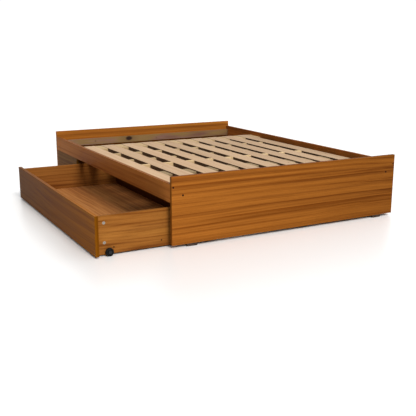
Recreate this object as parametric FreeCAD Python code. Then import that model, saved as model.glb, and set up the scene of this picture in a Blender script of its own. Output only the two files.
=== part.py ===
import FreeCAD, Part
import os

# Platform bed for a standard double mattress: laminated boards for the head, foot and
# sides, a slatted pine deck, and a long drawer on floor wheels under each side.
# Millimetres.  Origin on the floor at the middle of the bed, +X to the right side,
# +Y to the headboard, +Z up.  The left drawer stands part open, the right one is shut.

# ---------------------------------------------------------------- driving dimensions
mattress_w = 1380.0          # standard double
mattress_l = 1880.0
mattress_play = 10.0         # the mattress drops in between the boards
board_t = 18.0               # laminated board: head, foot, sides, drawer fronts
glide_h = 15.0               # plastic glides lift every board clear of the floor
panel_h = 345.0              # headboard and footboard
rail_drop = 38.0             # rail top below the panel tops
rail_h = 93.0

slat_count = 10
slat_w = 92.0
slat_t = 18.0
slat_recess = 27.0           # slat tops below the rail tops
slat_side_gap = 38.0         # rail to the outermost slat
slat_foot_gap = 6.0          # footboard to the slat ends
slat_past = 46.0             # slats run on past the partition
slat_gap_play = (6.0, 12.0, 5.0, -5.0, 4.0, -5.0, -6.0, -10.0, -1.0)   # as laid by hand

beam_t = 24.0                # notched beams that stand on edge under the slats
mid_beam_t = 28.0            # the middle one is thicker and flush with the slats
foot_plank_w = 105.0         # and the second is a plank, lower than the slats
beam_below = 26.0            # beam left under a slat's notch
# foot-side face of each beam from the footboard's outer face on a bed whose slats end
# beams_for from there, its top's depth below the slat tops, and its thickness
beams_for = 1536.0
beams = (("beam_01", 230.0, 10.0, beam_t),
         ("beam_02", 400.0, 6.0, foot_plank_w),
         ("beam_03", 696.0, 0.0, mid_beam_t),
         ("beam_04", 940.0, 9.0, beam_t),
         ("beam_05", 1160.0, 2.5, beam_t))
plank_w = 140.0              # wide plank under the head ends of the slats
plank_sink = 1.5
end_play = 0.5               # each end of a beam or ledger to the board beside it
notch_play = 0.25            # each side of a slat in its notch

ledger_t = 22.0              # pine strips screwed to the boards
foot_ledger_h = 40.0
head_ledger_h = 44.0
head_ledger_above = 0.0      # its top above the slat tops
side_ledger = 20.0           # square section, under the beam ends

drawer_open = 386.0          # how far the left drawer stands open
drawer_side_t = 15.0
drawer_back_gap = 44.0       # drawer back to the centre board when shut
finger_gap = 22.0            # drawer front to the rail above it, to pull it by
front_above_side = 8.0
front_gap = 3.0              # drawer front to the boards at its two ends
drawer_l = 1444.0            # length of the drawer front
wheel_room = 27.5            # from the front's end back to the drawer side
bottom_t = 15.0

wheel_r = 20.0
wheel_w = 14.0
wheel_front = 75.0           # front's outer face to the front axle
wheel_back = 60.0            # drawer back to the rear axle
axle_up = 12.0               # axle above the lower edge of the drawer side
axle_r = 4.0
axle_play = 0.05             # running clearance, radial
face_play = 0.4              # wheel to the bolt head and to the spacer
spacer_t = 4.0
spacer_r = 7.0
bolt_head_r = 8.5
bolt_head_t = 3.5
nut_r = 7.5
nut_t = 6.0
bottom_over_nut = 3.5        # bottom panel clears the nuts inside the drawer

cam_r = 7.5                  # cam locks that draw the drawer front on to the sides
cam_depth = 11.0
cam_back = 36.0              # from the side's front end
cam_low = 58.0               # heights above the drawer side's lower edge
cam_high = 155.0
screw_head_r = 3.6
screw_head_t = 2.4
screw_r = 1.8
screw_l = 38.0
drawer_screw_first = 101.0    # from the front's outer face
drawer_screw_step = 250.0
rail_screw_down = 15.0       # footboard screws: into the rail end
ledger_screw_in = 61.0       # and into the ledger behind
big_head_r = 5.0
big_head_t = 3.0
big_r = 2.5
big_l = 48.0

glide_len = 60.0
glide_in = 112.0             # glide centre from the board's end
glide_inset = 1.0            # glide narrower than the board, each side
plate_w = 18.0               # steel plates across the rail and side panel joint
plate_l = 70.0
plate_t = 2.0
plate_up = 16.0              # reach of a plate above the joint
head_panel_gap = 4.0         # side panel's free edge in front of the partition

# ---------------------------------------------------------------- derived sizes
inner_w = mattress_w + mattress_play
inner_l = mattress_l + mattress_play
bed_w = inner_w + 2.0 * board_t
bed_l = inner_l + 2.0 * board_t
x_in = inner_w / 2.0                       # rail inner face
x_out = bed_w / 2.0
y_foot = -bed_l / 2.0                      # footboard outer face
y_foot_in = y_foot + board_t
y_head = bed_l / 2.0
y_head_in = y_head - board_t
z0 = glide_h                               # underside of every board
z_top = z0 + panel_h
z_rail_top = z_top - rail_drop
z_rail_low = z_rail_top - rail_h
z_slat_top = z_rail_top - slat_recess
z_slat_low = z_slat_top - slat_t
z_beam_low = z_slat_low - beam_below
y_slat_foot = y_foot_in + slat_foot_gap
y_front_a = y_foot_in + front_gap          # drawer front, foot end
y_front_b = y_front_a + drawer_l           # and head end
y_side_panel = y_front_b + front_gap       # free edge of the fixed side panel
y_part = y_side_panel + head_panel_gap     # partition, face towards the drawers
y_slat_head = y_part + board_t + slat_past
drawer_lift = wheel_r - axle_up            # underside of the drawer above the floor
drawer_depth = x_out - board_t / 2.0 - drawer_back_gap
drawer_front_h = z_rail_low - finger_gap - drawer_lift
drawer_side_h = drawer_front_h - front_above_side

os.makedirs("parts", exist_ok=True)


def box(x0, x1, y0, y1, z_0, z_1):
    return Part.makeBox(x1 - x0, y1 - y0, z_1 - z_0, FreeCAD.Vector(x0, y0, z_0))


def rod(r, length, at, axis):
    return Part.makeCylinder(r, length, FreeCAD.Vector(*at), FreeCAD.Vector(*axis))


def screw(at, axis, head_r, head_t, shank_r, length):
    """Flat-headed screw, its head's face at the point given and its shank along axis."""
    step = FreeCAD.Vector(*axis)
    point = FreeCAD.Vector(*at)
    head = Part.makeCone(head_r, shank_r, head_t, point, step)
    shank = Part.makeCylinder(shank_r, length, point, step)
    return head.fuse(shank).removeSplitter()


def cross_slot(body, at, axis, reach, depth):
    """Cuts the driver's cross into a round head whose face is at the point given."""
    width = reach * 0.3
    lo = [at[k] - reach if axis[k] == 0 else at[k] for k in range(3)]
    result = body
    sides = [k for k in range(3) if axis[k] == 0]
    run = [k for k in range(3) if axis[k] != 0][0]
    for k in sides:
        low = list(lo)
        size = [2.0 * reach, 2.0 * reach, 2.0 * reach]
        other = sides[1] if k == sides[0] else sides[0]
        low[other] = at[other] - width / 2.0
        size[other] = width
        size[run] = depth
        low[run] = at[run] if axis[run] > 0 else at[run] - depth
        tool = Part.makeBox(size[0], size[1], size[2], FreeCAD.Vector(*low))
        result = result.cut(tool)
    return result


def holes(board, screws):
    for item in screws:
        board = board.cut(item)
    return board


def save(name, shape):
    shape.exportStep("parts/" + name + ".step")


# ---------------------------------------------------------------- slats
slat_span = inner_w - 2.0 * slat_side_gap
mean_gap = (slat_span - slat_count * slat_w) / (slat_count - 1)
slat_x = []
edge = -slat_span / 2.0
for i in range(slat_count):
    slat_x.append(edge)
    gap = mean_gap
    if i < len(slat_gap_play):
        gap = mean_gap + slat_gap_play[i]
    edge = edge + slat_w + gap

slat_screws = []
for x in slat_x:
    for y in (y_slat_foot + 12.0, y_slat_head - plank_w / 2.0):
        at = (x + slat_w / 2.0, y, z_slat_top)
        slat_screws.append(screw(at, (0, 0, -1), screw_head_r, screw_head_t, screw_r, 34.0))

for i, x in enumerate(slat_x):
    slat = box(x, x + slat_w, y_slat_foot, y_slat_head, z_slat_low, z_slat_top)
    slat = holes(slat, slat_screws[2 * i:2 * i + 2])
    save("slat_%02d" % (i + 1), slat)


# ---------------------------------------------------------------- beams and head plank
def notched(y_a, y_b, sink, low_ends):
    """A cross piece between the rails, notched to let every slat in.

    With low_ends the wood outside the outermost slats is sawn away too.
    """
    x_end = x_in - end_play
    body = box(-x_end, x_end, y_a, y_b, z_beam_low, z_slat_top - sink)
    for x in slat_x:
        cut = box(x - notch_play, x + slat_w + notch_play, y_a - 1.0, y_b + 1.0,
                  z_slat_low, z_slat_top + 1.0)
        body = body.cut(cut)
    if low_ends:
        for x_a, x_b in ((-x_in, slat_x[0]), (slat_x[-1] + slat_w, x_in)):
            body = body.cut(box(x_a, x_b, y_a - 1.0, y_b + 1.0, z_slat_low, z_slat_top + 1.0))
    return body


for name, y, sink, thick in beams:
    y_beam = y_foot + y * (y_slat_head - y_foot) / beams_for
    save(name, notched(y_beam, y_beam + thick, sink, True))

head_plank = notched(y_slat_head - plank_w, y_slat_head, plank_sink, False)
save("head_plank", holes(head_plank, slat_screws[1::2]))

# ---------------------------------------------------------------- head and foot boards
board_screws = {}
for end, y_face, step in (("foot", y_foot, 1), ("head", y_head, -1)):
    made = []
    for side in (-1, 1):
        x_rail = side * (x_out - board_t / 2.0)
        x_ledger = side * (x_out - ledger_screw_in)
        z_ledger = z_slat_low - foot_ledger_h / 2.0
        for x, z in ((x_rail, z_rail_top - rail_screw_down), (x_ledger, z_ledger + 7.0)):
            made.append(screw((x, y_face, z), (0, step, 0), big_head_r, big_head_t, big_r,
                              big_l if x == x_rail else board_t + ledger_t - 4.0))
    board_screws[end] = made

footboard = box(-x_out, x_out, y_foot, y_foot_in, z0, z_top)
headboard = box(-x_out, x_out, y_head_in, y_head, z0, z_top)
save("footboard", holes(footboard, board_screws["foot"]))
save("headboard", holes(headboard, board_screws["head"]))

for end, step in (("foot", 1), ("head", -1)):
    made = []
    y_face = y_foot if end == "foot" else y_head
    for item in board_screws[end]:
        c = item.BoundBox
        at = ((c.XMin + c.XMax) / 2.0, y_face, (c.ZMin + c.ZMax) / 2.0)
        made.append(cross_slot(item, at, (0, step, 0), big_head_r * 0.6, 1.6))
    save(end + "board_screws", Part.makeCompound(made))

# ---------------------------------------------------------------- side rails, side panels
for side, word in ((-1, "left"), (1, "right")):
    x_a = min(side * x_in, side * x_out)
    x_b = max(side * x_in, side * x_out)
    rail = box(x_a, x_b, y_foot_in, y_head_in, z_rail_low, z_rail_top)
    rail = holes(rail, board_screws["foot"] + board_screws["head"])
    save("side_rail_" + word, rail)
    panel = box(x_a, x_b, y_side_panel, y_head_in, z0, z_rail_low)
    save("head_side_panel_" + word, panel)

# ---------------------------------------------------------------- centre board, partition
y_ledger_foot = y_foot_in + ledger_t
z_foot_ledger = z_slat_low - foot_ledger_h
centre_board = box(-board_t / 2.0, board_t / 2.0, y_foot_in, y_part, z0, z_beam_low)
if z_foot_ledger < z_beam_low:
    # the foot ledger passes over the centre board's corner
    centre_board = centre_board.cut(box(-board_t, board_t, y_foot_in - 1.0, y_ledger_foot,
                                        z_foot_ledger, z_beam_low + 1.0))
save("centre_board", centre_board)
partition = box(-x_in, x_in, y_part, y_part + board_t, z0, z_beam_low)
x_led = x_in - side_ledger
for side in (-1, 1):
    a = min(side * x_led, side * x_in)
    b = max(side * x_led, side * x_in)
    slot = box(a, b, y_part - 1.0, y_part + board_t + 1.0,
               z_beam_low - side_ledger, z_beam_low)
    partition = partition.cut(slot)
save("partition", partition)

# ---------------------------------------------------------------- pine ledgers
for side, word in ((-1, "left"), (1, "right")):
    a = min(side * x_led, side * x_in)
    b = max(side * x_led, side * x_in)
    strip = box(a, b, y_ledger_foot, y_slat_head, z_beam_low - side_ledger, z_beam_low)
    save("side_ledger_" + word, strip)

x_end = x_in - end_play
foot_ledger = box(-x_end, x_end, y_foot_in, y_ledger_foot, z_foot_ledger, z_slat_low)
foot_ledger = holes(foot_ledger, board_screws["foot"] + slat_screws[0::2])
save("foot_ledger", foot_ledger)

z_head_ledger = z_slat_top + head_ledger_above
head_ledger = box(-x_end, x_end, y_head_in - ledger_t, y_head_in,
                  z_head_ledger - head_ledger_h, z_head_ledger)
save("head_ledger", holes(head_ledger, board_screws["head"]))

slotted = []
for item in slat_screws:
    c = item.BoundBox
    at = ((c.XMin + c.XMax) / 2.0, (c.YMin + c.YMax) / 2.0, z_slat_top)
    slotted.append(cross_slot(item, at, (0, 0, -1), screw_head_r * 0.6, 1.3))
save("slat_screws", Part.makeCompound(slotted))

# ---------------------------------------------------------------- plates at the side joints
plates = []
for side in (-1, 1):
    for y in (y_part + board_t + 30.0, y_head_in - 90.0):
        a = min(side * (x_in - plate_t), side * x_in)
        b = max(side * (x_in - plate_t), side * x_in)
        # under the ledger, over the line where the side panel meets the rail
        top = min(z_rail_low + plate_up, z_beam_low - side_ledger - 1.0)
        plates.append(box(a, b, y, y + plate_w, top - plate_l, top))
save("mending_plates", Part.makeCompound(plates))


# ---------------------------------------------------------------- glides
def glide(x, y, along_x):
    half = glide_len / 2.0
    thin = board_t / 2.0 - glide_inset
    if along_x:
        body = box(x - half, x + half, y - thin, y + thin, 0.0, glide_h)
        ends = [e for e in body.Edges if abs(e.BoundBox.ZMax) < 0.01 and e.BoundBox.YLength > thin]
    else:
        body = box(x - thin, x + thin, y - half, y + half, 0.0, glide_h)
        ends = [e for e in body.Edges if abs(e.BoundBox.ZMax) < 0.01 and e.BoundBox.XLength > thin]
    return body.makeFillet(min(8.0, glide_h * 0.6), ends)


x_glide = x_out - glide_in
foot_y = y_foot + board_t / 2.0
head_y = y_head - board_t / 2.0
save("footboard_glides", Part.makeCompound([glide(-x_glide, foot_y, True),
                                            glide(x_glide, foot_y, True)]))
save("headboard_glides", Part.makeCompound([glide(-x_glide, head_y, True),
                                            glide(x_glide, head_y, True)]))
part_y = y_part + board_t / 2.0
save("inner_glides", Part.makeCompound([glide(0.0, 0.0, False),
                                        glide(0.0, y_foot_in + 250.0, False),
                                        glide(-x_glide, part_y, True),
                                        glide(x_glide, part_y, True)]))


# ---------------------------------------------------------------- drawers
def drawer(word, side, x_face):
    """One drawer; side is -1 on the left, x_face is the outer face of its front."""
    def bx(d0, d1, y_a, y_b, za, zb):
        # d0 and d1 are depths behind the front's outer face
        xa = x_face - side * d0
        xb = x_face - side * d1
        return box(min(xa, xb), max(xa, xb), y_a, y_b, za, zb)

    zd = drawer_lift
    y_a = y_front_a + wheel_room
    y_b = y_front_b - wheel_room
    t = drawer_side_t
    z_axle = wheel_r
    z_bottom = z_axle + nut_r + bottom_over_nut
    z_screw = z_bottom + bottom_t / 2.0

    screws = []
    cams = []
    bolts = []
    for y_face, step in ((y_a, 1), (y_b, -1)):
        depth = drawer_screw_first
        while depth < drawer_depth - t:
            screws.append(screw((x_face - side * depth, y_face, z_screw), (0, step, 0),
                                screw_head_r, screw_head_t, screw_r, screw_l))
            depth = depth + drawer_screw_step
        for up in (cam_low, cam_high):
            screws.append(screw((x_face - side * (drawer_depth - t / 2.0), y_face, zd + up),
                                (0, step, 0), screw_head_r, screw_head_t, screw_r, screw_l))
            at = (x_face - side * (board_t + cam_back), y_face, zd + up)
            cams.append((rod(cam_r, cam_depth, at, (0, step, 0)), at, step))
        for depth in (wheel_front, drawer_depth - wheel_back):
            xw = x_face - side * depth
            out = spacer_t + 2.0 * face_play + wheel_w      # bolt head's inner face
            spacer = rod(spacer_r, spacer_t, (xw, y_face, z_axle), (0, -step, 0))
            shank = rod(axle_r, out + t + nut_t, (xw, y_face - step * out, z_axle),
                        (0, step, 0))
            head = rod(bolt_head_r, bolt_head_t, (xw, y_face - step * out, z_axle),
                       (0, -step, 0))
            rim = [e for e in head.Edges
                   if abs(e.BoundBox.YMin - (y_face - step * (out + bolt_head_t))) < 0.01
                   and e.BoundBox.YLength < 0.01]
            head = head.makeFillet(1.6, rim)
            nut = rod(nut_r, nut_t, (xw, y_face + step * t, z_axle), (0, step, 0))
            bolts.append((spacer.fuse([shank, head, nut]).removeSplitter(), xw, y_face, step))

    front = bx(0.0, board_t, y_front_a, y_front_b, zd, zd + drawer_front_h)
    save("drawer_%s_front" % word, front)

    cut_list = screws + [c[0] for c in cams]
    bolt_holes = [rod(axle_r, t, (b[1], b[2], z_axle), (0, b[3], 0)) for b in bolts]
    foot_side = bx(board_t, drawer_depth, y_a, y_a + t, zd, zd + drawer_side_h)
    head_side = bx(board_t, drawer_depth, y_b - t, y_b, zd, zd + drawer_side_h)
    save("drawer_%s_foot_side" % word, holes(holes(foot_side, cut_list), bolt_holes))
    save("drawer_%s_head_side" % word, holes(holes(head_side, cut_list), bolt_holes))
    back = bx(drawer_depth - t, drawer_depth, y_a + t, y_b - t, zd, zd + drawer_side_h)
    save("drawer_%s_back" % word, holes(back, screws))
    bottom = bx(board_t, drawer_depth - t, y_a + t, y_b - t, z_bottom, z_bottom + bottom_t)
    save("drawer_%s_bottom" % word, holes(bottom, screws))

    made = []
    for item in screws:
        c = item.BoundBox
        step = 1 if c.YMax < (y_a + y_b) / 2.0 else -1
        y_face = y_a if step == 1 else y_b
        at = ((c.XMin + c.XMax) / 2.0, y_face, (c.ZMin + c.ZMax) / 2.0)
        made.append(cross_slot(item, at, (0, step, 0), screw_head_r * 0.6, 1.3))
    save("drawer_%s_screws" % word, Part.makeCompound(made))
    made = [cross_slot(c[0], c[1], (0, c[2], 0), cam_r * 0.62, 2.0) for c in cams]
    save("drawer_%s_cams" % word, Part.makeCompound(made))
    save("drawer_%s_axle_bolts" % word, Part.makeCompound([b[0] for b in bolts]))

    names = ("foot_front", "foot_rear", "head_front", "head_rear")
    for name, (shape, xw, y_face, step) in zip(names, bolts):
        y_start = y_face - step * (spacer_t + face_play + wheel_w)
        tread = rod(wheel_r, wheel_w, (xw, y_start, z_axle), (0, step, 0))
        rims = [e for e in tread.Edges if e.BoundBox.YLength < 0.01]
        tread = tread.makeFillet(2.0, rims)
        for y_dish in (y_start, y_start + step * (wheel_w - 2.0)):
            ring = rod(wheel_r - 4.5, 2.0, (xw, y_dish, z_axle), (0, step, 0))
            hub = rod(bolt_head_r + 1.5, 2.0, (xw, y_dish, z_axle), (0, step, 0))
            tread = tread.cut(ring.cut(hub))
        bore = rod(axle_r + axle_play, wheel_w + 2.0, (xw, y_start - step, z_axle),
                   (0, step, 0))
        save("wheel_%s_%s" % (word, name), tread.cut(bore))


drawer("left", -1, -x_out - drawer_open)
drawer("right", 1, x_out)
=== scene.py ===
import bpy
import bmesh
import math
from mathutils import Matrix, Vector


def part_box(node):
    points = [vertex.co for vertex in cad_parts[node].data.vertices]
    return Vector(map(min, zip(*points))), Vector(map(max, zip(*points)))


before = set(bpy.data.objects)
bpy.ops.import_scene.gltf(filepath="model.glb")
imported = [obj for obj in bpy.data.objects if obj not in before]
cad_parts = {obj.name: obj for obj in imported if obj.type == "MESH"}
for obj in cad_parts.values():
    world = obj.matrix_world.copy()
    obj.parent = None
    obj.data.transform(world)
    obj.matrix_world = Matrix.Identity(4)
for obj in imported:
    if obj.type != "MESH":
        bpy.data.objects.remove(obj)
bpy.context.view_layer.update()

# Camera: standing off the left foot corner of the bed, a metre above the floor, looking
# along the bed to its far right corner.
camera_dip, camera_roll, camera_turn = 13.79, -0.09, -28.56     # degrees
camera_data = bpy.data.cameras.new("bed_camera")
camera_data.lens = 59.16
camera_data.sensor_width = 36.0
camera_data.clip_end = 100.0
camera = bpy.data.objects.new("bed_camera", camera_data)
camera.location = (-2.099, -3.874, 0.998)
camera.rotation_euler = (math.radians(90.0 - camera_dip), math.radians(camera_roll),
                         math.radians(camera_turn))
bpy.context.scene.collection.objects.link(camera)
bpy.context.scene.camera = camera

# Studio: a plain white satin floor, one large soft key from the front, and a white room
# that gives most of its light from the front, the right and above, and little from the left.
room_bright_side = (0.55, -0.60, 0.58)
room_least, room_most = 0.06, 0.98
room_seen_strength = 1.05
key_side = (0.02, -0.72, 0.67)
key_strength = 2.95
floor_half_width = 60.0

scene = bpy.context.scene
scene.view_settings.view_transform = "Standard"
scene.view_settings.look = "None"
room = bpy.data.worlds.new("white_room")
room.use_nodes = True
scene.world = room
room_nodes = room.node_tree.nodes
room_links = room.node_tree.links
room_nodes.clear()
room_out = room_nodes.new("ShaderNodeOutputWorld")
room_place = room_nodes.new("ShaderNodeTexCoord")
room_side = room_nodes.new("ShaderNodeVectorMath")
room_side.operation = "DOT_PRODUCT"
room_side.inputs[1].default_value = room_bright_side
room_fall = room_nodes.new("ShaderNodeMapRange")
room_fall.interpolation_type = "SMOOTHSTEP"
room_fall.inputs["From Min"].default_value = -0.25
room_fall.inputs["From Max"].default_value = 0.55
room_fall.inputs["To Min"].default_value = room_least
room_fall.inputs["To Max"].default_value = room_most
room_lit = room_nodes.new("ShaderNodeBackground")
room_lit.inputs["Color"].default_value = (0.96, 0.98, 1.0, 1.0)
room_seen = room_nodes.new("ShaderNodeBackground")
room_seen.inputs["Color"].default_value = (1.0, 1.0, 1.0, 1.0)
room_seen.inputs["Strength"].default_value = room_seen_strength
room_path = room_nodes.new("ShaderNodeLightPath")
room_plain = room_nodes.new("ShaderNodeMath")
room_plain.operation = "MAXIMUM"
room_mix = room_nodes.new("ShaderNodeMixShader")
room_links.new(room_place.outputs["Generated"], room_side.inputs[0])
room_links.new(room_side.outputs["Value"], room_fall.inputs["Value"])
room_links.new(room_fall.outputs["Result"], room_lit.inputs["Strength"])
room_links.new(room_path.outputs["Is Camera Ray"], room_plain.inputs[0])
room_links.new(room_path.outputs["Is Glossy Ray"], room_plain.inputs[1])
room_links.new(room_plain.outputs[0], room_mix.inputs[0])
room_links.new(room_lit.outputs[0], room_mix.inputs[1])
room_links.new(room_seen.outputs[0], room_mix.inputs[2])
room_links.new(room_mix.outputs[0], room_out.inputs["Surface"])

key_data = bpy.data.lights.new("key_light", "SUN")
key_data.energy = key_strength
key_data.angle = math.radians(20.0)
key_data.color = (1.0, 0.97, 0.93)
key = bpy.data.objects.new("key_light", key_data)
key.rotation_euler = Vector(key_side).to_track_quat("Z", "Y").to_euler()
scene.collection.objects.link(key)

floor_mesh = bpy.data.meshes.new("studio_floor")
bm = bmesh.new()
bmesh.ops.create_grid(bm, x_segments=1, y_segments=1, size=floor_half_width)
bm.to_mesh(floor_mesh)
bm.free()
studio_floor = bpy.data.objects.new("studio_floor", floor_mesh)
scene.collection.objects.link(studio_floor)
floor_paint = bpy.data.materials.new("white_satin_floor")
floor_paint.use_nodes = True
floor_shader = floor_paint.node_tree.nodes["Principled BSDF"]
floor_shader.inputs["Base Color"].default_value = (0.93, 0.93, 0.93, 1.0)
floor_shader.inputs["Roughness"].default_value = 0.36
floor_shader.inputs["IOR"].default_value = 3.6
floor_mesh.materials.append(floor_paint)


# Headboard, footboard, side rails and fixed side panels: 18 mm board faced with a satin
# teak-grain laminate whose figure runs along each board, edged with a thin band of the
# same figure and screwed together through the ends.
class Finish:
    """Adds nodes to one material and joins them, so each finish reads as a short recipe."""

    def __init__(self, name):
        self.material = bpy.data.materials.new(name)
        self.material.use_nodes = True
        self.nodes = self.material.node_tree.nodes
        self.links = self.material.node_tree.links
        self.shader = self.nodes["Principled BSDF"]

    def put(self, kind, **values):
        node = self.nodes.new("ShaderNode" + kind)
        for name, value in values.items():
            setattr(node, name, value)
        return node

    def feed(self, value, socket):
        if isinstance(value, bpy.types.NodeSocket):
            self.links.new(value, socket)
        else:
            socket.default_value = value

    def sum(self, operation, a, b=0.0, c=0.0, clamp=False):
        node = self.put("Math", operation=operation, use_clamp=clamp)
        self.feed(a, node.inputs[0])
        self.feed(b, node.inputs[1])
        self.feed(c, node.inputs[2])
        return node.outputs[0]

    def mix(self, factor, a, b, blend="MIX"):
        node = self.put("Mix", data_type="RGBA", blend_type=blend)
        self.feed(factor, node.inputs[0])
        self.feed(a, node.inputs[6])
        self.feed(b, node.inputs[7])
        return node.outputs[2]

    def ramp(self, value, stops):
        node = self.put("ValToRGB")
        edges = node.color_ramp.elements
        while len(edges) < len(stops):
            edges.new(0.5)
        for edge, (place, colour) in zip(edges, stops):
            edge.position = place
            edge.color = (*colour, 1.0)
        self.feed(value, node.inputs[0])
        return node.outputs[0]

    def noise(self, vector, scale, detail, rough=0.5, distort=0.0, shift=(0.0, 0.0, 0.0)):
        """Noise stretched by a scale for each axis, and moved by shift."""
        stretch = self.put("Mapping")
        self.feed(vector, stretch.inputs["Vector"])
        stretch.inputs["Scale"].default_value = scale
        stretch.inputs["Location"].default_value = shift
        node = self.put("TexNoise")
        self.links.new(stretch.outputs[0], node.inputs["Vector"])
        node.inputs["Scale"].default_value = 1.0
        node.inputs["Detail"].default_value = detail
        node.inputs["Roughness"].default_value = rough
        node.inputs["Distortion"].default_value = distort
        return node.outputs["Fac"]

    def bump(self, height, distance, strength):
        node = self.put("Bump")
        self.feed(height, node.inputs["Height"])
        node.inputs["Distance"].default_value = distance
        node.inputs["Strength"].default_value = strength
        self.links.new(node.outputs[0], self.shader.inputs["Normal"])

    def facing(self, axis):
        """How far the flat face looks along one axis, from -1 to 1."""
        split = self.put("SeparateXYZ")
        self.links.new(self.put("NewGeometry").outputs["True Normal"], split.inputs[0])
        return split.outputs[axis]

    def along(self, run, shift=(0.0, 0.0, 0.0)):
        """Object coordinates with the first one along the board; its ends' bands turned."""
        split = self.put("SeparateXYZ")
        self.links.new(self.put("TexCoord").outputs["Object"], split.inputs[0])
        order = {"X": (0, 1, 2), "Y": (1, 0, 2)}[run]
        plain = self.put("CombineXYZ")
        turned = self.put("CombineXYZ")
        for k in range(3):
            self.links.new(split.outputs[order[k]], plain.inputs[k])
            self.links.new(split.outputs[order[2 - k]], turned.inputs[k])
        on_end = self.sum("GREATER_THAN", self.sum("ABSOLUTE", self.facing(order[0])), 0.7)
        both = self.put("Mix", data_type="VECTOR")
        self.feed(on_end, both.inputs[0])
        self.links.new(plain.outputs[0], both.inputs[4])
        self.links.new(turned.outputs[0], both.inputs[5])
        moved = self.put("VectorMath", operation="ADD")
        self.links.new(both.outputs[1], moved.inputs[0])
        moved.inputs[1].default_value = shift
        return moved.outputs[0]

    def wander(self, vector, sway, reach, axes):
        """Lets a figure drift across the board, by reach from its least to its most."""
        lift = self.sum("MULTIPLY_ADD", sway, reach, -reach / 2.0)
        offset = self.put("CombineXYZ")
        for axis in axes:
            self.links.new(lift, offset.inputs[axis])
        moved = self.put("VectorMath", operation="ADD")
        self.links.new(vector, moved.inputs[0])
        self.links.new(offset.outputs[0], moved.inputs[1])
        return moved.outputs[0]

    def fade(self, colour, board_place, shade_drift):
        """Paints shade along the board: darkens a colour by the given amount for each metre
        along it.
        """
        split = self.put("SeparateXYZ")
        self.links.new(board_place, split.inputs[0])
        level = self.sum("MULTIPLY_ADD", split.outputs[0], -shade_drift, 1.0)
        shade = self.put("CombineXYZ")
        for k in range(3):
            self.links.new(level, shade.inputs[k])
        return self.mix(1.0, colour, shade.outputs[0], "MULTIPLY")


def teak_laminate(name, run, seed, tone, shade_drift, painted_top_light, calm):
    """Printed teak figure: broad colour bands, long dark streaks, fibres and short pores.

    The sheet darkens for each metre along the board as painted shade, its upward faces are
    multiplied by painted light (painted shade on some boards, a painted highlight on others),
    and calm weakens the figure.
    """
    golden, tan, umber = (tuple(a * b for a, b in zip(colour, tone))
                          for colour in ((0.222, 0.0770, 0.0104), (0.172, 0.0540, 0.0072),
                                         (0.076, 0.0180, 0.0027)))
    w = Finish(name)
    grain = w.along(run, (seed * 3.17, seed * 1.73, seed * 2.41))
    figure = w.wander(grain, w.noise(grain, (0.8, 1.5, 1.5), 1.0), 0.050, (1, 2))
    bands = w.noise(figure, (0.25, 7.0, 7.0), 2.0)
    streaks = w.noise(figure, (0.30, 50.0, 50.0), 3.0, 0.60)
    lines = w.noise(figure, (0.40, 96.0, 96.0), 2.0, 0.60, shift=(4.0, 1.0, 2.0))
    fibres = w.noise(figure, (5.0, 420.0, 420.0), 3.0, 0.60)
    pores = w.noise(figure, (55.0, 1500.0, 1500.0), 1.0)
    broad = w.noise(grain, (0.75, 0.9, 0.9), 1.0, shift=(7.0, 3.0, 5.0))
    base = w.ramp(w.sum("ADD", bands, w.sum("MULTIPLY_ADD", broad, 0.8, -0.4)),
                  [(0.36, tan), (0.60, golden)])
    dark = w.ramp(streaks, [(0.40, (1, 1, 1)), (0.45, (0.40, 0.40, 0.40)), (0.51, (0, 0, 0))])
    # the dark streaks gather where the bands are dark
    gather = w.sum("MULTIPLY_ADD", bands, -1.6, 1.45, clamp=True)
    streaked = w.sum("MULTIPLY", w.sum("MULTIPLY", dark, gather), 0.68)
    coloured = w.mix(streaked, base, (*umber, 1.0))
    thin = w.ramp(lines, [(0.35, (0.64, 0.54, 0.48)), (0.45, (0.93, 0.91, 0.89)),
                          (0.54, (1.02, 1.02, 1.02)), (0.70, (1.14, 1.16, 1.18))])
    coloured = w.mix(1.0, coloured, thin, "MULTIPLY")
    fine = w.ramp(fibres, [(0.30, (0.84, 0.82, 0.80)), (0.70, (1.10, 1.10, 1.10))])
    coloured = w.mix(1.0, coloured, fine, "MULTIPLY")
    specks = w.ramp(pores, [(0.28, (0.72, 0.66, 0.60)), (0.40, (1.0, 1.0, 1.0))])
    coloured = w.mix(0.7, coloured, specks, "MULTIPLY")
    if calm:
        coloured = w.mix(calm, coloured, (*(a * 0.95 for a in tan), 1.0))
    # painted shade: the colour darkens along the board
    if shade_drift:
        coloured = w.fade(coloured, w.along(run), shade_drift)
    # painted light on the upward faces: their colour is multiplied by the top colour, darkening
    # them as painted shade on the rails and the right drawer front and lightening them as a
    # painted highlight on the left drawer front
    upward = w.sum("GREATER_THAN", w.facing(2), 0.6)
    coloured = w.mix(upward, coloured, w.mix(1.0, coloured, (*painted_top_light, 1.0), "MULTIPLY"))
    w.links.new(coloured, w.shader.inputs["Base Color"])
    w.links.new(w.sum("MULTIPLY_ADD", fibres, 0.16, 0.34), w.shader.inputs["Roughness"])
    w.shader.inputs["Specular IOR Level"].default_value = 0.01
    w.shader.inputs["Specular Tint"].default_value = (1.0, 0.72, 0.40, 1.0)
    w.bump(w.sum("ADD", fibres, w.sum("MULTIPLY", pores, 0.5)), 0.00008, 0.6)
    return w.material


def ease_edges(node_object, radius):
    """Rounds the sharp edges of a board by a small radius, as sanding or banding leaves them."""
    weld = node_object.modifiers.new("weld", "WELD")
    weld.merge_threshold = 0.00002
    flat = node_object.modifiers.new("flat", "DECIMATE")
    flat.decimate_type = "DISSOLVE"
    flat.angle_limit = math.radians(0.5)
    edge = node_object.modifiers.new("edge", "BEVEL")
    edge.width = radius
    edge.segments = 2
    edge.limit_method = "ANGLE"
    edge.angle_limit = math.radians(50.0)
    edge.use_clamp_overlap = True
    edge.harden_normals = False


def dress(node, material):
    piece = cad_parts[node]
    piece.data.materials.clear()
    piece.data.materials.append(material)
    return piece


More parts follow.
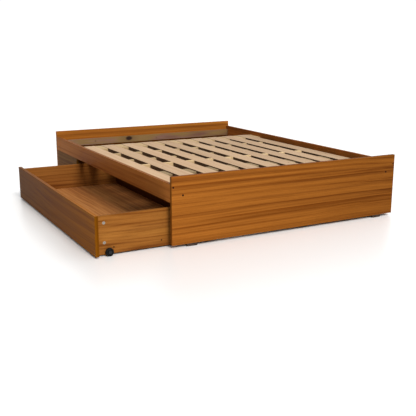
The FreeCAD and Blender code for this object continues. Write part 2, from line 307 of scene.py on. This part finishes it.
def lay_laminate(node, run, seed, tone, shade_drift=0.0, painted_top_light=(1.0, 1.0, 1.0), calm=0.0):
    board = dress(node, teak_laminate("teak_" + node, run, seed, tone, shade_drift, painted_top_light, calm))
    edge_band_radius = 0.0009
    ease_edges(board, edge_band_radius)


# Each board's tone is partly painted light: boards of one laminate are made lighter or darker by
# how the light falls on each, and the rails' high blue paints in a grey sheen. The footboard
# darkens towards its right end and the rails towards their head ends as painted shade, and the
# rails' upward faces are darkened as painted shade.
lay_laminate("footboard", "X", 1.0, tone=(0.93, 0.90, 0.94), shade_drift=0.27)
lay_laminate("headboard", "X", 2.0, tone=(1.54, 1.64, 1.80))
lay_laminate("side_rail_left", "Y", 3.0, tone=(2.02, 2.16, 3.50), shade_drift=0.10,
             painted_top_light=(0.57, 0.55, 0.48), calm=0.45)
lay_laminate("side_rail_right", "Y", 4.0, tone=(2.30, 2.40, 3.60), shade_drift=0.15,
             painted_top_light=(0.50, 0.50, 0.45), calm=0.30)
lay_laminate("head_side_panel_left", "Y", 5.0, tone=(0.72, 0.87, 0.92))
lay_laminate("head_side_panel_right", "Y", 6.0, tone=(1.55, 1.65, 1.60), calm=0.30)

# Centre board and partition: the same laminated board, on glides under the beams, which
# it carries. One runs between the two drawers, the other across the bed at their head ends.
# The inner boards are given a darker tone as painted shade inside the bed.
shaded_inner_board_tone = (0.60, 0.55, 0.50)
lay_laminate("centre_board", "Y", 7.0, shaded_inner_board_tone)
lay_laminate("partition", "X", 8.0, shaded_inner_board_tone)


# Ledgers: planed pine strips left bare, along the insides of the outer boards. The foot
# one is under the slats and the side ones under the beams. The head one is on show, level
# with the slats beyond their ends, with yellow growth lines and a dark knot.
def bare_pine(name, run, seed, colour, knots=(), across_axis=2, side_shade=1.0, yellow=0.0,
              cloud=0.08, shade_drift=0.0):
    """Planed pine: soft colour, growth lines, fibres, and dark knots ringed with yellow.

    A knot is its place along the board, its place across (upwards with across_axis 2, or
    sideways with 1) and its size. Faces sideways to the run can be darkened, as painted shade
    for the dark gaps between the slats, yellow strengthens the growth lines' gold, cloud the
    change from pale to pink, and the wood can darken along the board as painted shade.
    """
    w = Finish(name)
    plain = w.along(run)
    grain = w.along(run, (seed * 2.63, seed * 1.37, seed * 3.91))
    sway = w.noise(grain, (2.2, 6.0, 6.0), 2.0)
    rings = w.noise(w.wander(grain, sway, 0.030, (1,)), (1.5, 95.0, 95.0), 3.0, 0.55, 0.2)
    tint = w.noise(grain, (1.6, 9.0, 9.0), 2.0, shift=(3.0, 1.0, 4.0))
    fibre = w.noise(grain, (14.0, 900.0, 900.0), 2.0, 0.6)
    r, g, b = colour
    pale = (r * (1.0 + cloud), g * (1.0 + cloud), b * (1.0 + cloud), 1.0)
    pink = (r * (1.0 - 0.4 * cloud), g * (1.0 - 0.7 * cloud), b * (1.0 - 0.9 * cloud), 1.0)
    late = (r * 0.80, g * 0.68, b * 0.56, 1.0)
    gold = (r * 1.30, g * 1.42, b * 0.60, 1.0)
    resin = (r * 0.62, g * 0.56, b * 0.30, 1.0)
    knot_heart = (0.020, 0.008, 0.004, 1.0)
    patch = w.ramp(tint, [(0.35, (0, 0, 0)), (0.65, (1, 1, 1))])
    lines = w.ramp(rings, [(0.48, (0, 0, 0)), (0.62, (1, 1, 1)), (0.68, (0.1, 0.1, 0.1))])
    wood = w.mix(w.sum("MULTIPLY", lines, 0.55), w.mix(patch, pale, pink), late)
    golden = w.ramp(w.noise(grain, (3.0, 22.0, 22.0), 2.0, shift=(1.0, 6.0, 2.0)),
                    [(0.46, (0, 0, 0)), (0.62, (1, 1, 1))])
    wood = w.mix(w.sum("MULTIPLY", golden, yellow), wood, gold)
    for along, across, size in knots:
        centre = [along, 0.0, 0.0]
        centre[across_axis] = across
        squeeze = [0.6 / size, 0.0, 0.0]
        squeeze[across_axis] = 1.0 / size
        spot = w.put("VectorMath", operation="SUBTRACT")
        w.links.new(plain, spot.inputs[0])
        spot.inputs[1].default_value = centre
        flat = w.put("VectorMath", operation="MULTIPLY")
        w.links.new(spot.outputs[0], flat.inputs[0])
        flat.inputs[1].default_value = squeeze
        far = w.put("VectorMath", operation="LENGTH")
        w.links.new(flat.outputs[0], far.inputs[0])
        away = w.sum("ADD", far.outputs["Value"], w.sum("MULTIPLY_ADD", sway, 0.8, -0.4))
        near = w.sum("MULTIPLY", away, 0.25)
        halo = w.ramp(near, [(0.10, (1, 1, 1)), (0.60, (0, 0, 0))])
        core = w.ramp(near, [(0.14, (1, 1, 1)), (0.22, (0, 0, 0))])
        wood = w.mix(w.sum("MULTIPLY", halo, 0.5), wood, resin)
        wood = w.mix(core, wood, knot_heart)
    fine = w.ramp(fibre, [(0.3, (0.93, 0.92, 0.90)), (0.7, (1.04, 1.04, 1.04))])
    wood = w.mix(1.0, wood, fine, "MULTIPLY")
    # painted shade: faces sideways to the run are darkened to stand for the shade in the gaps
    # between the slats
    if side_shade < 1.0:
        side_axis = {"X": 1, "Y": 0}[run]
        sideways = w.sum("GREATER_THAN", w.sum("ABSOLUTE", w.facing(side_axis)), 0.85)
        painted_side_shade = (side_shade, side_shade * 0.8, side_shade * 0.6, 1.0)
        wood = w.mix(sideways, wood, w.mix(1.0, wood, painted_side_shade, "MULTIPLY"))
    # painted shade: the wood darkens along the board
    if shade_drift:
        wood = w.fade(wood, plain, shade_drift)
    w.links.new(wood, w.shader.inputs["Base Color"])
    w.shader.inputs["Roughness"].default_value = 0.72
    w.shader.inputs["Specular IOR Level"].default_value = 0.15
    w.bump(w.sum("ADD", fibre, w.sum("MULTIPLY", lines, 0.7)), 0.00015, 0.6)
    return w.material


# The ledgers' pine is given a far darker colour than the slats' pine, as painted shade on the
# head ledger.
shaded_ledger_pine = (0.150, 0.082, 0.060)
ledger_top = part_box("head_ledger")[1][2]
head_knots = ((-0.166, ledger_top - 0.017, 0.0230), (0.06, ledger_top - 0.028, 0.003),
              (-0.43, ledger_top - 0.020, 0.003))
for number, (node, run, knots) in enumerate((("head_ledger", "X", head_knots),
                                             ("foot_ledger", "X", ()),
                                             ("side_ledger_left", "Y", ()),
                                             ("side_ledger_right", "Y", ()))):
    ledger = dress(node, bare_pine("pine_" + node, run, 50.0 + number * 2.7, shaded_ledger_pine,
                                   knots, yellow=0.85, cloud=0.55))
    ease_edges(ledger, 0.0012)

# Beams and head plank: pine across the bed, notched for the slats. Most stand on edge.
# beam_02 is a wide plank, coloured darker as painted shade, beam_03 is coloured lighter as
# painted light, and the head plank is wide and ends in line with the slats.
beam_painted_light = {"beam_02": 0.5, "beam_03": 1.05}
for number, node in enumerate(("beam_01", "beam_02", "beam_03", "beam_04", "beam_05",
                               "head_plank")):
    light_level = beam_painted_light.get(node, 0.80)
    beam = dress(node, bare_pine("pine_" + node, "X", 30.0 + number * 2.7,
                                 (0.55 * light_level, 0.40 * light_level, 0.22 * light_level)))
    ease_edges(beam, 0.0010)

# Slats: ten planed pine boards, pale and a little pink, each its own tone, laid in the
# notches by hand and screwed down at both ends.
for number in range(1, 11):
    node = "slat_%02d" % number
    tone = 1.02 - 0.018 * number + 0.04 * math.sin(number * 2.3)
    slat_low, slat_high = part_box(node)
    knots = []
    for k in (0, 1):
        run_part = (0.37 * number + 0.53 * k + 0.11) % 1.0
        knots.append((slat_low[1] + (slat_high[1] - slat_low[1]) * run_part,
                      (slat_low[0] + slat_high[0]) / 2.0
                      + 0.03 * math.sin(number * 1.9 + 2.0 * k),
                      0.0024 + 0.0010 * k))
    # Each slat's side faces are darkened as painted shade for the gaps, and each slat darkens
    # towards the head end as painted shade.
    slat = dress(node, bare_pine("pine_" + node, "Y", number * 1.9,
                                 (0.49 * tone, 0.342 * tone, 0.216 * tone), knots,
                                 across_axis=1, side_shade=0.24, shade_drift=0.10))
    ease_edges(slat, 0.0018)

# Drawers: fronts of 18 mm laminated board and sides, backs and bottoms of 15 mm, with the
# figure along each board, held by cam locks at the front and screws elsewhere. The tones
# carry painted light: the left front is darker as painted shade and darkens towards its
# head end, its upward faces are lighter and bluer as a painted highlight, the right front's
# upward faces are darker as painted shade, the backs are darkened as painted shade under
# the bed, and the bottoms' high blue paints in a grey sheen.
for hand, seed, front in (
        ("left", 9.0, dict(tone=(0.80, 0.80, 0.25), shade_drift=0.60, painted_top_light=(1.40, 1.50, 4.50))),
        ("right", 14.0, dict(tone=(1.55, 1.60, 1.40), painted_top_light=(0.8, 0.8, 0.8)))):
    lay_laminate("drawer_%s_front" % hand, "Y", seed, calm=0.40, **front)
    lay_laminate("drawer_%s_back" % hand, "Y", seed + 1.0, tone=(0.42, 0.40, 0.50))
    lay_laminate("drawer_%s_foot_side" % hand, "X", seed + 2.0, tone=(1.24, 1.48, 2.12))
    lay_laminate("drawer_%s_head_side" % hand, "X", seed + 3.0, tone=(1.14, 1.26, 2.00))
    lay_laminate("drawer_%s_bottom" % hand, "Y", seed + 4.0, tone=(1.80, 2.25, 5.20),
                 calm=0.25)


# Wheels and glides: moulded nylon, the wheels black and slightly matt, with mould texture,
# and the glides dark brown.
def moulded(name, colour, roughness):
    w = Finish(name)
    place = w.put("TexCoord").outputs["Object"]
    cast = w.noise(place, (900.0, 900.0, 900.0), 2.0)
    scuff = w.noise(place, (60.0, 60.0, 60.0), 3.0)
    tone = w.ramp(scuff, [(0.35, colour), (0.75, tuple(c * 1.8 + 0.003 for c in colour))])
    w.links.new(tone, w.shader.inputs["Base Color"])
    w.links.new(w.sum("MULTIPLY_ADD", scuff, 0.2, roughness - 0.1),
                w.shader.inputs["Roughness"])
    w.shader.inputs["Specular IOR Level"].default_value = 0.03
    w.bump(cast, 0.00006, 0.5)
    return w.material


wheel_black = moulded("wheel_nylon", (0.005, 0.005, 0.005), 0.45)
glide_brown = moulded("glide_nylon", (0.030, 0.020, 0.015), 0.55)
for side in ("left", "right"):
    for end in ("foot", "head"):
        for row in ("front", "rear"):
            dress("wheel_%s_%s_%s" % (side, end, row), wheel_black)
for node in ("footboard_glides", "headboard_glides", "inner_glides"):
    dress(node, glide_brown)


# Metal: grey steel axle bolts, dull cam locks, bronzed screws, and zinc-plated plates on
# the insides of the fixed side panels, at their joints with the rails.
def metal(name, colour, roughness, metallic=1.0):
    w = Finish(name)
    place = w.put("TexCoord").outputs["Object"]
    mottle = w.noise(place, (220.0, 220.0, 220.0), 3.0)
    tone = w.ramp(mottle, [(0.3, tuple(c * 0.8 for c in colour)), (0.7, colour)])
    w.links.new(tone, w.shader.inputs["Base Color"])
    w.shader.inputs["Metallic"].default_value = metallic
    w.links.new(w.sum("MULTIPLY_ADD", mottle, 0.25, roughness - 0.1),
                w.shader.inputs["Roughness"])
    w.shader.inputs["Specular IOR Level"].default_value = 0.05
    w.bump(mottle, 0.00003, 0.4)
    return w.material


axle_steel = metal("axle_steel", (0.020, 0.021, 0.023), 0.50, metallic=0.3)
joint_zinc = metal("zinc_plate", (0.40, 0.41, 0.43), 0.45)
cam_zinc = metal("cam_zinc_dull", (0.29, 0.26, 0.22), 0.42)
bronzed = metal("bronzed_screw", (0.006, 0.002, 0.0015), 0.70, metallic=0.0)
for hand in ("left", "right"):
    dress("drawer_%s_axle_bolts" % hand, axle_steel)
    dress("drawer_%s_cams" % hand, cam_zinc)
    dress("drawer_%s_screws" % hand, bronzed)
dress("mending_plates", joint_zinc)
for node in ("footboard_screws", "headboard_screws", "slat_screws"):
    dress(node, bronzed)
